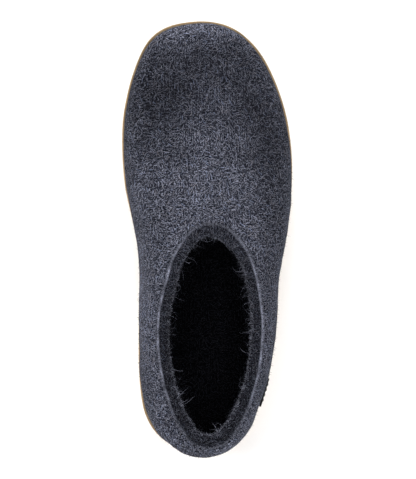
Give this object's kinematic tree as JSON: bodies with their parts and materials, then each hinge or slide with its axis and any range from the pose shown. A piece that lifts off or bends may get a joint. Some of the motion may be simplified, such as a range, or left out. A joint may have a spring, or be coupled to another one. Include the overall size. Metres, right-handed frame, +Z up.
{
  "type": "felt slipper",
  "caption": "Closed-heel wool felt slipper with a low collar open at the ankle, thick felted walls, a felt insole and a shallow natural rubber cup sole; stands empty on its sole.",
  "frame": {"origin": "centre of the shoe's box in plan, on the plane that the heel and the ball of the sole stand on", "axes": "+Y from the heel to the toe, +X to the outer side of the foot, +Z up out of the collar"},
  "size_m": [0.1106, 0.2808, 0.0919],
  "materials": {
    "felt": "thick charcoal grey wool felt, heathered with light fibres, matt and fuzzy",
    "insole_felt": "thin dark grey felt, matt",
    "sole_rubber": "natural honey-coloured rubber, satin",
    "tab_leather": "black leather, fine grain, blank"
  },
  "bodies": {
    "root": {"upper": "felt", "insole": "insole_felt", "outsole": "sole_rubber", "side_tab": "tab_leather"}
  },
  "joints": []
}
